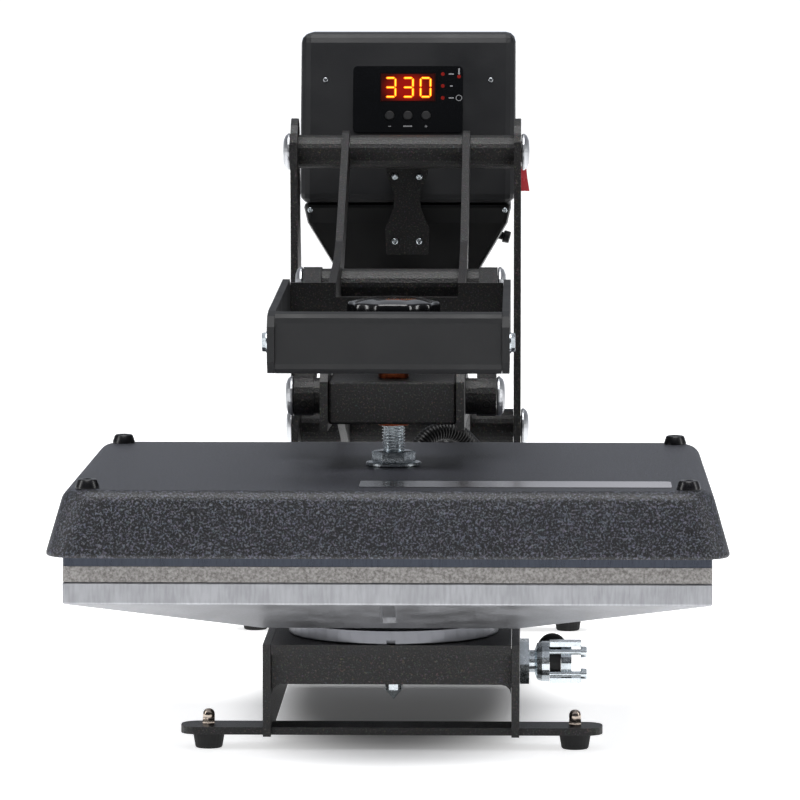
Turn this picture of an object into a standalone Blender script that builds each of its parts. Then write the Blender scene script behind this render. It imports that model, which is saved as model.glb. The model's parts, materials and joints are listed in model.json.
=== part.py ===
"""Clamshell heat press with a 16 by 20 inch platen, as separate jointed parts.

Frame: X to the press's right, -Y towards the person using it, +Z up.
The origin is on the table, under the middle of the press. The press is closed and locked.
"""

import math

import bmesh
import bpy
from mathutils import Matrix, Vector

MM = 0.001
GAP = 0.3  # left between two pieces that touch

# ---------------------------------------------------------------- driving sizes, millimetres
# The four shafts of the toggle linkage all lie along X. Each is (Y, Z).
SHAFT_HANDLE = (214.0, 462.8)  # top of the frame: the handle turns here
SHAFT_LINK = (4.0, 355.5)  # handle to links
SHAFT_ARM = (-176.0, 276.2)  # links to arm
SHAFT_FRAME = (264.0, 210.1)  # rear of the frame: the arm turns here
ROD_R = 9.5
BORE_R = 9.85
SLEEVE_R = 15.0
CAP_R = 16.5

STUD_Y = -233.0  # centre line of the platens, the stud and the pedestal
PLATEN_W = 508.0
PLATEN_D = 406.4

PLATE = 6.4  # quarter-inch plate
SIDE_IN = 97.0  # inner face of a frame side plate
SIDE_OUT = SIDE_IN + PLATE
FRONT_Y = -318.0
SHELF_TOP = 87.3
FOOT_X = 148.5
FOOT_Y = {"front": -291.0, "rear": 433.0}
FOOT_H = 12.8
BAR_TOP = 18.9

ARM_IN = 52.0  # inner face of an arm plate
HANDLE_IN = 51.0  # inner face of a handle arm
LUG_IN = 67.6
LUG_OUT = 83.5
GRIP_Y = -386.0
WEB_Y = -126.0  # web between the handle arms and the grip's side plates

BAND_LOW = 135.0  # lower platen
BAND_TOP = 152.2
PAD_TOP = 164.7
HOT_LOW = 165.0
HOT_TOP = 178.0
COVER_LOW = 172.0
COVER_TOP = 224.5
COVER_FOOT = (268.8, 218.0)  # half sizes at the lip
COVER_CROWN = (254.5, 203.5)
COVER_WALL = 2.5
CONDUIT_R = 8.0
CONDUIT_START = (12.0, 6.0, 186.0)
CONDUIT_END = (62.0, 306.0, 349.0)

BLOCK_LOW = 261.6
BLOCK_TOP = 296.5
KNOB_LOW = 331.0
KNOB_TOP = 359.0

FACE_LOW = (254.0, 414.0)  # control box face, lower and upper edge (Y, Z)
FACE_TOP = (295.0, 568.0)
BOX_REAR = 375.0
WINDOW_Z = 518.5
BUTTON_Z = 493.0
BUTTON_PITCH = 16.6
BUTTONS = {"minus": -BUTTON_PITCH, "mode": 0.0, "plus": BUTTON_PITCH}
ROCKER = (293.0, 435.0)  # Y and Z of the power switch's middle

# ---------------------------------------------------------------- clean start and materials
for old in list(bpy.data.objects):
    bpy.data.objects.remove(old, do_unlink=True)


def material(name, colour, roughness, metallic):
    mat = bpy.data.materials.new(name)
    mat.use_nodes = True
    shader = mat.node_tree.nodes["Principled BSDF"]
    shader.inputs["Base Color"].default_value = (*colour, 1.0)
    shader.inputs["Roughness"].default_value = roughness
    shader.inputs["Metallic"].default_value = metallic
    return mat


POWDER = material("black_powder_coat", (0.012, 0.012, 0.013), 0.45, 0.0)
WRINKLE = material("wrinkle_coat", (0.045, 0.047, 0.052), 0.5, 0.0)
ABS = material("black_abs", (0.014, 0.014, 0.015), 0.5, 0.0)
GLOSS = material("gloss_phenolic", (0.006, 0.006, 0.007), 0.12, 0.0)
GRIP_VINYL = material("grip_vinyl", (0.018, 0.019, 0.021), 0.7, 0.0)
CAST_ALU = material("cast_aluminium", (0.55, 0.56, 0.58), 0.45, 1.0)
TURNED_ALU = material("turned_aluminium", (0.62, 0.63, 0.65), 0.3, 1.0)
STEEL = material("ground_steel", (0.5, 0.51, 0.53), 0.3, 1.0)
ZINC = material("zinc_plate", (0.6, 0.64, 0.68), 0.25, 1.0)
BRONZE = material("bearing_bronze", (0.48, 0.2, 0.1), 0.35, 1.0)
SILICONE = material("silicone_pad", (0.37, 0.33, 0.29), 0.85, 0.0)
RUBBER = material("black_rubber", (0.01, 0.01, 0.01), 0.7, 0.0)
FIBRE = material("glass_fibre_blanket", (0.7, 0.66, 0.55), 0.9, 0.0)
BOARD = material("circuit_board", (0.02, 0.12, 0.05), 0.5, 0.0)
RED_ABS = material("red_switch", (0.5, 0.05, 0.06), 0.35, 0.0)
WINDOW = material("red_window", (0.15, 0.01, 0.01), 0.1, 0.0)

# ---------------------------------------------------------------- mesh helpers, in millimetres


def add_object(name, mesh, mat, smooth=35.0):
    """Scale a bmesh from millimetres, and make it an object of its own."""
    bmesh.ops.recalc_face_normals(mesh, faces=mesh.faces)
    bmesh.ops.scale(mesh, vec=Vector((MM, MM, MM)), verts=mesh.verts)
    data = bpy.data.meshes.new(name)
    mesh.to_mesh(data)
    mesh.free()
    data.materials.append(mat)
    data.shade_smooth()
    data.set_sharp_from_angle(angle=math.radians(smooth))
    obj = bpy.data.objects.new(name, data)
    bpy.context.scene.collection.objects.link(obj)
    return obj


def prism_mesh(outline, axis, low, high):
    """A closed outline, in the two other axes' order, swept along X, Y or Z from low to high."""
    place = {"X": lambda u, v, w: (w, u, v), "Y": lambda u, v, w: (u, w, v), "Z": lambda u, v, w: (u, v, w)}
    mesh = bmesh.new()
    ends = [[mesh.verts.new(place[axis](u, v, w)) for u, v in outline] for w in (low, high)]
    count = len(outline)
    mesh.faces.new(ends[0])
    mesh.faces.new(ends[1])
    for i in range(count):
        j = (i + 1) % count
        mesh.faces.new((ends[0][i], ends[0][j], ends[1][j], ends[1][i]))
    return mesh


def prism(name, outline, axis, low, high, mat):
    return add_object(name, prism_mesh(outline, axis, low, high), mat)


def turned(name, profile, axis, centre, mat, steps=24, smooth=35.0):
    """Spin a profile of (radius, place along the axis) about a line through centre.

    A profile that starts and ends at radius 0 makes a solid piece. Any other makes a ring.
    """
    turn = {
        "X": lambda r, a, t: (t, centre[0] + r * math.cos(a), centre[1] + r * math.sin(a)),
        "Y": lambda r, a, t: (centre[0] + r * math.sin(a), t, centre[1] + r * math.cos(a)),
        "Z": lambda r, a, t: (centre[0] + r * math.cos(a), centre[1] + r * math.sin(a), t),
    }
    mesh = bmesh.new()
    angles = [2 * math.pi * k / steps for k in range(steps)]
    rows = []
    for radius, along in profile:
        if radius == 0:
            rows.append([mesh.verts.new(turn[axis](0, 0, along))])
        else:
            rows.append([mesh.verts.new(turn[axis](radius, a, along)) for a in angles])
    solid = profile[0][0] == 0
    pairs = list(zip(rows, rows[1:] if solid else rows[1:] + rows[:1]))
    for one, two in pairs:
        for k in range(steps):
            n = (k + 1) % steps
            corners = [one[k % len(one)], one[n % len(one)], two[n % len(two)], two[k % len(two)]]
            mesh.faces.new(list(dict.fromkeys(corners)))
    return add_object(name, mesh, mat, smooth)


def tube(name, axis, centre, inner, outer, low, high, mat, steps=24):
    profile = [(outer, low), (outer, high), (inner, high), (inner, low)]
    return turned(name, profile, axis, centre, mat, steps)


def box(name, low, high, mat, round_by=0.0, steps=3):
    mesh = bmesh.new()
    bmesh.ops.create_cube(mesh, size=1.0)
    for vert in mesh.verts:
        vert.co = [a + (b - a) * (c + 0.5) for a, b, c in zip(low, high, vert.co)]
    obj = add_object(name, mesh, mat)
    if round_by:
        soften(obj, round_by, steps)
    return obj


def soften(obj, width, steps=3, angle=30.0):
    bevel = obj.modifiers.new("round_edges", "BEVEL")
    bevel.width = width * MM
    bevel.segments = steps
    bevel.limit_method = "ANGLE"
    bevel.angle_limit = math.radians(angle)


def combine(obj, tool, operation):
    """Cut a hidden tool out of an object, or join it on."""
    tool.hide_render = True
    tool.display_type = "WIRE"
    step = obj.modifiers.new(operation.lower(), "BOOLEAN")
    step.operation = operation
    step.object = tool
    step.solver = "EXACT"


def drill(obj, name, axis, centre, radius, low, high, steps=24):
    profile = [(0, low), (radius, low), (radius, high), (0, high)]
    combine(obj, turned(name, profile, axis, centre, STEEL, steps), "DIFFERENCE")


def hex_nut(name, axis, centre, radius, bore, low, high, mat):
    nut = turned(name, [(0, low), (radius, low), (radius, high), (0, high)], axis, centre, mat, 6)
    drill(nut, f"{name}_bore_tool", axis, centre, bore, low - 5, high + 5)


def cut_box(obj, name, low, high):
    combine(obj, box(name, low, high, STEEL), "DIFFERENCE")


def arc(centre, radius, start, end, steps):
    """Points on an arc, from the start angle to the end angle, in degrees."""
    angles = [math.radians(start + (end - start) * k / steps) for k in range(steps + 1)]
    return [(centre[0] + radius * math.cos(a), centre[1] + radius * math.sin(a)) for a in angles]


def rounded(low, high, radius, steps=4):
    """A rectangle's outline with round corners."""
    (x0, y0), (x1, y1) = low, high
    r = radius
    corners = [((x1 - r, y0 + r), -90), ((x1 - r, y1 - r), 0), ((x0 + r, y1 - r), 90), ((x0 + r, y0 + r), 180)]
    return [p for c, a in corners for p in arc(c, r, a, a + 90, steps)]


def sided(inner, outer, side):
    """The low and high X of a piece between two distances from the middle plane, on one side."""
    return (inner, outer) if side > 0 else (-outer, -inner)


SIDES = {"left": -1, "right": 1}

# ---------------------------------------------------------------- frame: base


def foot(name, x, y):
    profile = [(0, 0), (10.2, 0), (11, 0.8), (13, FOOT_H - GAP), (0, FOOT_H - GAP)]
    return turned(name, profile, "Z", (x, y), RUBBER)


def foot_bar(end):
    y = FOOT_Y[end]
    outline = rounded((-170.8, y - 18), (170.8, y + 18), 14, 5)
    return prism(f"foot_bar_{end}", outline, "Z", FOOT_H, BAR_TOP, POWDER)


def side_plate(side):
    """An L-shaped plate: a low beam along the table and an upright that carries both fixed shafts."""
    front_bar = (FOOT_Y["front"] - 18.3, FOOT_Y["front"] + 18.3)
    rear_bar = FOOT_Y["rear"] - 18.3
    low, over = 12.5, BAR_TOP + GAP
    outline = [(FRONT_Y, low), (front_bar[0], low), (front_bar[0], over), (front_bar[1], over)]
    outline += [(front_bar[1], low), (rear_bar, low), (rear_bar, over), (451, over), (451, 46)]
    outline += [(352, 110), (304, 240), (250, 400)]
    outline += arc(SHAFT_HANDLE, 30, -18, 198, 12)
    outline += [(190, 400), (198, 150)]
    outline += arc((150, 135.3), 48, -18, -90, 4)
    outline += [(FRONT_Y, SHELF_TOP)]
    low_x, high_x = sided(SIDE_IN, SIDE_OUT, SIDES[side])
    plate = prism(f"side_plate_{side}", outline, "X", low_x, high_x, POWDER)
    near, far = sided(HANDLE_IN + PLATE + GAP, SIDE_IN + 1, SIDES[side])
    spacer = [(0, near), (SLEEVE_R, near), (SLEEVE_R, far), (0, far)]
    combine(plate, turned(f"{side}_spacer_tool", spacer, "X", SHAFT_HANDLE, POWDER), "UNION")
    for name, centre in (("handle", SHAFT_HANDLE), ("frame", SHAFT_FRAME)):
        drill(plate, f"{side}_{name}_shaft_tool", "X", centre, BORE_R, *sided(40, 110, SIDES[side]))


def shelf():
    """The plate under the pedestal, with a flange welded across its front, flared at both ends."""
    x, low, flare = SIDE_IN - GAP, 54.0, 8.0
    obj = box("shelf_plate", (-x, FRONT_Y, SHELF_TOP - 8), (x, 60, SHELF_TOP), POWDER)
    drill(obj, "shelf_bolt_tool", "Z", (0, STUD_Y), 5.4, 60, 100, 16)
    right = arc((x - flare, low - flare), flare, 90, 0, 3)
    left = [(-u, v) for u, v in reversed(right)]
    flange = [(-x, SHELF_TOP - 7), *left, *right, (x, SHELF_TOP - 7)]
    combine(obj, prism("shelf_flange_tool", flange, "Y", -308, -302, POWDER), "UNION")


def rear_crossplate():
    inside = SIDE_IN - GAP
    return box("rear_crossplate", (-inside, 340, 24), (inside, 346, 96), POWDER)


def base():
    for side in SIDES:
        side_plate(side)
    shelf()
    rear_crossplate()
    for end, y in FOOT_Y.items():
        foot_bar(end)
        for side, sign in SIDES.items():
            foot(f"foot_{end}_{side}", sign * FOOT_X, y)


# ---------------------------------------------------------------- frame: pedestal and lower platen


def pedestal():
    low = SHELF_TOP + GAP
    profile = [(0, low), (85, low), (86, low + 1), (86, low + 11), (60, low + 15.6), (0, low + 15.6)]
    disc = turned("pedestal_disc", profile, "Z", (0, STUD_Y), TURNED_ALU, 48)
    cut_box(disc, "disc_notch_tool", (-3.6, STUD_Y - 90, low - 5), (3.6, STUD_Y - 78, low + 3.6))
    bolt = [(0, 31), (7.5, 39.5), (7.5, 47), (5, 47), (5, SHELF_TOP), (0, SHELF_TOP)]
    turned("pedestal_lock_bolt", bolt, "Z", (0, STUD_Y), ZINC, 12)


def lower_platen():
    """A casting: an even band round the edge, and a pyramid down to the pedestal."""
    bottom, foot_half = 103.5, 103.0
    half = (PLATEN_W / 2, PLATEN_D / 2)
    mesh = bmesh.new()
    levels = [(bottom, foot_half, foot_half), (BAND_LOW, *half), (BAND_TOP, *half)]
    rings = []
    for z, hx, hy in levels:
        corners = ((-hx, -hy), (hx, -hy), (hx, hy), (-hx, hy))
        rings.append([mesh.verts.new((x, STUD_Y + y, z)) for x, y in corners])
    mesh.faces.new(rings[0])
    mesh.faces.new(rings[-1])
    for one, two in zip(rings, rings[1:]):
        for k in range(4):
            n = (k + 1) % 4
            mesh.faces.new((one[k], one[n], two[n], two[k]))
    platen = add_object("lower_platen", mesh, CAST_ALU, 15)
    front = STUD_Y - half[1]
    slope = (BAND_LOW - bottom) / (half[1] - foot_half)
    near, far, end, deep = 5.0, 73.0, 82.0, 4.0
    outline = [(front + near, BAND_LOW - 12), (front + near, BAND_LOW + deep - near * slope)]
    outline += [(front + far, BAND_LOW + deep - far * slope), (front + end, BAND_LOW - end * slope - 2)]
    outline += [(front + end, BAND_LOW - end * slope - 8)]
    groove = prism("platen_groove_tool", outline, "X", -5.5, 5.5, STEEL)
    combine(platen, groove, "DIFFERENCE")
    soften(platen, 1.2, 2, 12)
    low, high = (-half[0], STUD_Y - half[1]), (half[0], STUD_Y + half[1])
    prism("silicone_pad", rounded(low, high, 4, 3), "Z", BAND_TOP + GAP, PAD_TOP, SILICONE)


# ---------------------------------------------------------------- frame: fixed shafts


def cap_profile(inner, sign):
    """A domed end cap, from its flat inner face outwards."""
    steps = ((CAP_R - 1.5, 0), (CAP_R, 1.2), (CAP_R, 2.6), (CAP_R * 0.86, 5.2), (CAP_R * 0.62, 6.7), (0, 7.4))
    return [(radius, inner + sign * out) for radius, out in steps]


def shaft(name, centre, reach):
    """A steel rod through the plates, with a domed aluminium cap pinned on each end."""
    left = list(reversed(cap_profile(-reach, -1)))
    turned(name, [*left, (ROD_R, -reach), (ROD_R, reach), *cap_profile(reach, 1)], "X", centre, TURNED_ALU, 28, 50)


def fixed_shafts():
    shaft("handle_shaft", SHAFT_HANDLE, SIDE_OUT + GAP)
    shaft("frame_shaft", SHAFT_FRAME, SIDE_OUT + GAP)


# ---------------------------------------------------------------- frame: control box

LEAN = math.atan2(FACE_TOP[0] - FACE_LOW[0], FACE_TOP[1] - FACE_LOW[1])
BOX_W = 98.0


def face_point(z):
    """Y on the leaning face of the box at height z."""
    return FACE_LOW[0] + math.tan(LEAN) * (z - FACE_LOW[1])


def tilt(obj, z):
    """Lay a piece built about the origin, facing -Y, on the box face at height z."""
    turn = Matrix.Rotation(-LEAN, 4, "X")
    obj.matrix_world = Matrix.Translation((0, face_point(z) * MM, z * MM)) @ turn
    return obj


def control_box():
    wall = 2.5
    beyond = BOX_REAR + 15
    outline = [FACE_LOW, FACE_TOP, (beyond, FACE_TOP[1]), (beyond, FACE_LOW[1])]
    shell = prism("control_box_shell", outline, "X", -BOX_W, BOX_W, ABS)
    soften(shell, 9, 3)
    inside = [(FACE_LOW[0] + wall + 0.6, FACE_LOW[1] + wall), (FACE_TOP[0] + wall - 0.6, FACE_TOP[1] - wall)]
    inside += [(beyond + 20, FACE_TOP[1] - wall), (beyond + 20, FACE_LOW[1] + wall)]
    hollow = prism("box_hollow_tool", inside, "X", -BOX_W + wall, BOX_W - wall, STEEL)
    soften(hollow, 6.5, 2)
    combine(shell, hollow, "DIFFERENCE")
    cut_box(shell, "box_rear_tool", (-120, BOX_REAR, 400), (120, BOX_REAR + 40, 590))
    window = tilt(box("box_window_tool", (-25.4, -8, -13.4), (25.4, 8, 13.4), STEEL), WINDOW_Z)
    combine(shell, window, "DIFFERENCE")
    for name, x in BUTTONS.items():
        hole = [(0, -8), (4.45, -8), (4.45, 8), (0, 8)]
        combine(shell, tilt(turned(f"box_{name}_tool", hole, "Y", (x, 0), STEEL, 20), BUTTON_Z), "DIFFERENCE")
    rear = rounded((-BOX_W + wall + GAP, FACE_LOW[1] + wall + GAP), (BOX_W - wall - GAP, FACE_TOP[1] - wall - GAP), 8)
    prism("control_box_rear_cover", rear, "Y", BOX_REAR - 3, BOX_REAR - 0.5, ABS)


def front_panel():
    """Overlay, window, display and board, each parallel to the leaning face."""
    middle = (WINDOW_Z + BUTTON_Z) / 2 + 2.0
    rise = (WINDOW_Z - middle) / math.cos(LEAN)
    drop = (BUTTON_Z - middle) / math.cos(LEAN)
    outline = rounded((-50, -31), (50, 31), 4)
    overlay = tilt(prism("panel_overlay", outline, "Y", -1.3, -GAP, GLOSS), middle)
    window = box("overlay_window_tool", (-25.4, -8, rise - 13.4), (25.4, 8, rise + 13.4), STEEL)
    combine(overlay, tilt(window, middle), "DIFFERENCE")
    for name, x in BUTTONS.items():
        hole = [(0, -8), (4.45, -8), (4.45, 8), (0, 8)]
        tool = turned(f"overlay_{name}_tool", hole, "Y", (x, drop), STEEL, 20)
        combine(overlay, tilt(tool, middle), "DIFFERENCE")
        stem = [(0, -2.6), (3.6, -2.6), (4.15, -2.0), (4.15, 4), (0, 4)]
        tilt(turned(f"button_{name}", stem, "Y", (x, 0), ABS, 20), BUTTON_Z)
    tilt(box("display_window", (-25.1, -1.3, -13.1), (25.1, 0.6, 13.1), WINDOW), WINDOW_Z)
    board = tilt(box("control_board", (-70, 7.8, drop - 16), (70, 9.4, rise + 26), BOARD), middle)
    digits = box("led_display_tool", (-25, 0.9, rise - 9.6), (25, 8, rise + 9.6), BOARD)
    combine(board, tilt(digits, middle), "UNION")


def tray():
    """The hopper under the box. It narrows towards its bottom and leans back."""
    top, bottom = FACE_LOW[1] - GAP, 346.0
    levels = [(top, 95, 258, 371), (396, 91, 260, 368), (bottom, 62, 278, 340)]
    mesh = bmesh.new()
    rings = []
    for z, x, y0, y1 in levels:
        rings.append([mesh.verts.new(p) for p in ((-x, y0, z), (x, y0, z), (x, y1, z), (-x, y1, z))])
    mesh.faces.new(rings[0])
    mesh.faces.new(rings[-1])
    for one, two in zip(rings, rings[1:]):
        for k in range(4):
            n = (k + 1) % 4
            mesh.faces.new((one[k], one[n], two[n], two[k]))
    hopper = add_object("control_box_tray", mesh, ABS, 20)
    soften(hopper, 4, 2, 20)
    inside = [(264, top + 3), (264, 400), (284, 350), (334, 350), (362, 400), (362, top + 3)]
    combine(hopper, prism("tray_hollow_tool", inside, "X", -58, 58, STEEL), "DIFFERENCE")
    drill(hopper, "tray_conduit_tool", "Z", CONDUIT_END[:2], 8.4, 340, 356)


def bracket():
    """A sleeve on the upper shaft, and welded to it the waisted plate that hangs the box."""
    top, bottom, waist = 446.0, 368.0, 418.0
    inner = HANDLE_IN - GAP
    sleeve = [(0, -inner), (SLEEVE_R, -inner), (SLEEVE_R, inner), (0, inner)]
    piece = turned("box_bracket", sleeve, "X", SHAFT_HANDLE, POWDER)
    half = [(19, bottom), (20, bottom + 24), (12.5, waist - 8), (11.5, waist + 4), (19, top - 4), (19, top + 4)]
    outline = half + [(-x, z) for x, z in reversed(half)]
    plate = prism("bracket_plate_tool", outline, "Y", 246, 250, POWDER)
    combine(piece, plate, "UNION")
    arms = [(222, top), (222, top + 8), (250, top + 4), (250, top)]
    combine(piece, prism("bracket_top_tool", arms, "X", -19, 19, POWDER), "UNION")
    for k, (x, z) in enumerate(((-11, 380), (11, 380), (-11, 439), (11, 439))):
        drill(piece, f"bracket_hole_tool_{k}", "Y", (x, z), 2.2, 240, 256, 10)
    drill(piece, "sleeve_bore_tool", "X", SHAFT_HANDLE, BORE_R, -60, 60)


def rocker():
    """A red rocker in a black bezel on the box's right wall. Its top half is pressed in."""
    y, z = ROCKER
    wall = BOX_W + GAP
    cut_box(bpy.data.objects["control_box_shell"], "wall_tool", (wall - 6, y - 8.2, z - 12.6), (wall + 1, y + 8.2, z + 12.6))
    bezel = prism("rocker_bezel", rounded((y - 10.5, z - 15), (y + 10.5, z + 15), 2.5, 2), "X", wall, wall + 4.4, ABS)
    cut_box(bezel, "bezel_tool", (wall - 5, y - 7.8, z - 12.2), (wall + 8, y + 7.8, z + 12.2))
    back = wall + 0.3
    outline = [(back, z - 10.9), (back, z + 10.9), (back + 9.4, z + 10.9), (back + 10.6, z), (back + 12.4, z - 10.9)]
    prism("power_rocker", outline, "Y", y - 7.4, y + 7.4, RED_ABS)


# ---------------------------------------------------------------- frame: cable connector


def gland():
    """A two-screw clamp connector on the right side plate, for the mains lead."""
    y, z = -262.0, 67.0
    wall = SIDE_OUT + GAP
    hex_nut("gland_locknut", "X", (y, z), 20.0, 9.6, wall, wall + 7.6, ZINC)
    neck = [(6, wall), (9.2, wall), (9.2, wall + 12), (15, wall + 14), (16.5, wall + 18), (16.5, wall + 24)]
    neck += [(6, wall + 24)]
    turned("gland_body", neck, "X", (y, z), ZINC, 20, 25)
    x0, x1 = wall + 24.3, wall + 46
    tube("gland_bushing", "X", (y, z), 5.5, 11.8, x0, x0 + 9, RUBBER, 16)
    clamp = tube("gland_clamp", "X", (y, z), 5.5, 13.4, x0 + 9.3, x1 - 4, ZINC, 16)
    for end, sign in (("upper", 1), ("lower", -1)):
        low, high = sorted((z + sign * 12.8, z + sign * 16.8))
        combine(clamp, box(f"gland_rail_{end}_tool", (x0, y - 8, low), (x1 + 4, y + 8, high), ZINC), "UNION")


# ---------------------------------------------------------------- arm


def arm_plate(side):
    """From the block at the stud back to the fixed shaft at the rear."""
    outline = [(-286, 257), (-150, 252), (60, 239), (244, 190)]
    outline += arc(SHAFT_FRAME, 27, -120, 100, 10)
    outline += [(60, 270), (-120, 294), (-150, 303), (-280, 303), (-286, 297)]
    low, high = sided(ARM_IN, ARM_IN + PLATE, SIDES[side])
    plate = prism(f"arm_plate_{side}", outline, "X", low, high, POWDER)
    near, far = sided(ARM_IN + PLATE - 1, LUG_IN - GAP, SIDES[side])
    boss = [(0, near), (SLEEVE_R, near), (SLEEVE_R, far), (0, far)]
    combine(plate, turned(f"{side}_arm_boss_tool", boss, "X", SHAFT_ARM, POWDER), "UNION")
    drill(plate, f"{side}_arm_tube_tool", "X", SHAFT_FRAME, SLEEVE_R + 1 + GAP, low - 5, high + 5)
    drill(plate, f"{side}_arm_rod_tool", "X", SHAFT_ARM, BORE_R, *sided(40, 80, SIDES[side]))


def block():
    """The heavy cross block that carries the stud in two bronze bushes."""
    inside = ARM_IN - GAP
    piece = box("cross_block", (-inside, -276, BLOCK_LOW), (inside, -190, BLOCK_TOP), POWDER)
    drill(piece, "block_bore_tool", "Z", (0, STUD_Y), 11.5, BLOCK_LOW - 5, BLOCK_TOP + 5)
    soften(piece, 2, 2)
    middle = (BLOCK_LOW + BLOCK_TOP) / 2
    for name, face, out in (("lower", BLOCK_LOW, -1), ("upper", BLOCK_TOP, 1)):
        seat = face + out * GAP
        rim = seat + out * 3.6
        end = middle + out * 1.0
        profile = [(BORE_R, end), (11.2, end), (11.2, seat), (12.6, seat), (12.6, rim), (BORE_R, rim)]
        turned(f"stud_bush_{name}", profile, "Z", (0, STUD_Y), BRONZE)


def arm():
    for side in SIDES:
        arm_plate(side)
    block()
    reach = SIDE_IN - GAP
    tube("arm_pivot_tube", "X", SHAFT_FRAME, BORE_R, SLEEVE_R + 1, -reach, reach, POWDER)
    rod = LUG_IN - GAP
    turned("arm_shaft", [(0, -rod), (ROD_R, -rod), (ROD_R, rod), (0, rod)], "X", SHAFT_ARM, STEEL)


# ---------------------------------------------------------------- upper platen, on the stud


def stud():
    low = HOT_TOP + GAP
    profile = [(0, low), (30, low), (30, low + 6), (ROD_R, low + 6), (ROD_R, 338), (0, 338)]
    turned("platen_stud", profile, "Z", (0, STUD_Y), ZINC)
    tube("stud_washer", "Z", (0, STUD_Y), 10.2, 22.5, COVER_TOP + GAP, COVER_TOP + 2.8, ZINC)
    hex_nut("stud_jam_nut", "Z", (0, STUD_Y), 17.8, BORE_R, COVER_TOP + 3.1, COVER_TOP + 12, ZINC)


def heated_platen():
    low = (-PLATEN_W / 2, STUD_Y - PLATEN_D / 2)
    high = (PLATEN_W / 2, STUD_Y + PLATEN_D / 2)
    platen = prism("heated_platen", rounded(low, high, 5, 3), "Z", HOT_LOW, HOT_TOP, CAST_ALU)
    top = COVER_TOP - COVER_WALL - GAP
    for end, y in (("front", -184.5), ("rear", 184.5)):
        for side, sign in SIDES.items():
            post = [(0, HOT_TOP - 2), (5, HOT_TOP - 2), (5, top), (0, top)]
            tool = turned(f"post_{end}_{side}_tool", post, "Z", (sign * 235.5, STUD_Y + y), CAST_ALU, 12)
            combine(platen, tool, "UNION")
    heater()
    blanket = box("insulation_blanket", (-226, STUD_Y - 174, 187), (226, STUD_Y + 174, 201), FIBRE)
    drill(blanket, "blanket_tool", "Z", (0, STUD_Y), 32, 180, 210)


def heater():
    """A flat element that runs back and forth over the platen in one snake, with a way round the stud."""
    half, pitch, width, runs = 205.0, 72.0, 10.0, 6
    first = STUD_Y - (pitch * (runs - 1) + width) / 2
    low, high = HOT_TOP + GAP, HOT_TOP + 6.3
    snake = box("heater_element", (-half, first, low), (half, first + width, high), STEEL)
    for k in range(1, runs):
        y = first + k * pitch
        x = half - width if k % 2 else -half
        bend = box(f"heater_bend_tool_{k}", (x, y - pitch, low), (x + width, y + width, high), STEEL)
        combine(snake, bend, "UNION")
        run = box(f"heater_run_tool_{k}", (-half, y, low), (half, y + width, high), STEEL)
        combine(snake, run, "UNION")


def cover():
    """A drawn steel lid, open underneath. Its walls slope and its edges are rounded."""
    levels = [(COVER_LOW, *COVER_FOOT), (COVER_LOW + 3, *COVER_FOOT), (COVER_TOP, *COVER_CROWN)]

    def lid(name, shrink, top, bottom, mat):
        mesh = bmesh.new()
        rings = []
        for z, hx, hy in ((bottom, *levels[0][1:]), levels[1], (top, *levels[2][1:])):
            hx, hy = hx - shrink, hy - shrink
            outline = rounded((-hx, STUD_Y - hy), (hx, STUD_Y + hy), 26, 4)
            rings.append([mesh.verts.new((x, y, z)) for x, y in outline])
        mesh.faces.new(rings[0])
        mesh.faces.new(rings[-1])
        for one, two in zip(rings, rings[1:]):
            for k in range(len(one)):
                n = (k + 1) % len(one)
                mesh.faces.new((one[k], one[n], two[n], two[k]))
        return add_object(name, mesh, mat, 40)

    piece = lid("platen_cover", 0, COVER_TOP, COVER_LOW, WRINKLE)
    soften(piece, 8, 3, 40)
    hollow = lid("cover_hollow_tool", COVER_WALL, COVER_TOP - COVER_WALL, COVER_LOW - 5, STEEL)
    combine(piece, hollow, "DIFFERENCE")
    drill(piece, "cover_stud_tool", "Z", (0, STUD_Y), 10.4, COVER_TOP - 8, COVER_TOP + 5)


# ---------------------------------------------------------------- knob


def knob():
    """A ten-lobed phenolic knob with a blind threaded hub that draws the stud up."""
    lobes, per = 10, 4
    rim = []
    for k in range(lobes * per):
        a = 2 * math.pi * k / (lobes * per)
        rim.append((math.cos(a), math.sin(a), 36.3 + 2.9 * math.cos(lobes * a)))
    levels = [(KNOB_LOW, 0.93), (KNOB_LOW + 4, 1.0), (KNOB_TOP - 7, 1.0), (KNOB_TOP - 3, 0.93), (KNOB_TOP - 0.8, 0.5)]
    mesh = bmesh.new()
    rings = []
    for z, scale in levels:
        rings.append([mesh.verts.new((c * r * scale, STUD_Y + s * r * scale, z)) for c, s, r in rim])
    mesh.faces.new(rings[0])
    mesh.faces.new(rings[-1])
    for one, two in zip(rings, rings[1:]):
        for k in range(len(one)):
            n = (k + 1) % len(one)
            mesh.faces.new((one[k], one[n], two[n], two[k]))
    star = add_object("star_knob", mesh, GLOSS, 50)
    low = BLOCK_TOP + 5.0 + 2 * GAP
    hub = [(0, low), (15, low), (15, KNOB_LOW + 2), (0, KNOB_LOW + 2)]
    combine(star, turned("knob_hub_tool", hub, "Z", (0, STUD_Y), STEEL), "UNION")
    drill(star, "knob_bore_tool", "Z", (0, STUD_Y), BORE_R, low - 5, KNOB_TOP - 6)


# ---------------------------------------------------------------- handle


def stadium(start, end, radius, steps=6):
    """An outline round two points with round ends."""
    along = math.degrees(math.atan2(end[1] - start[1], end[0] - start[0]))
    return arc(end, radius, along - 90, along + 90, steps) + arc(start, radius, along + 90, along + 270, steps)


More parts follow.
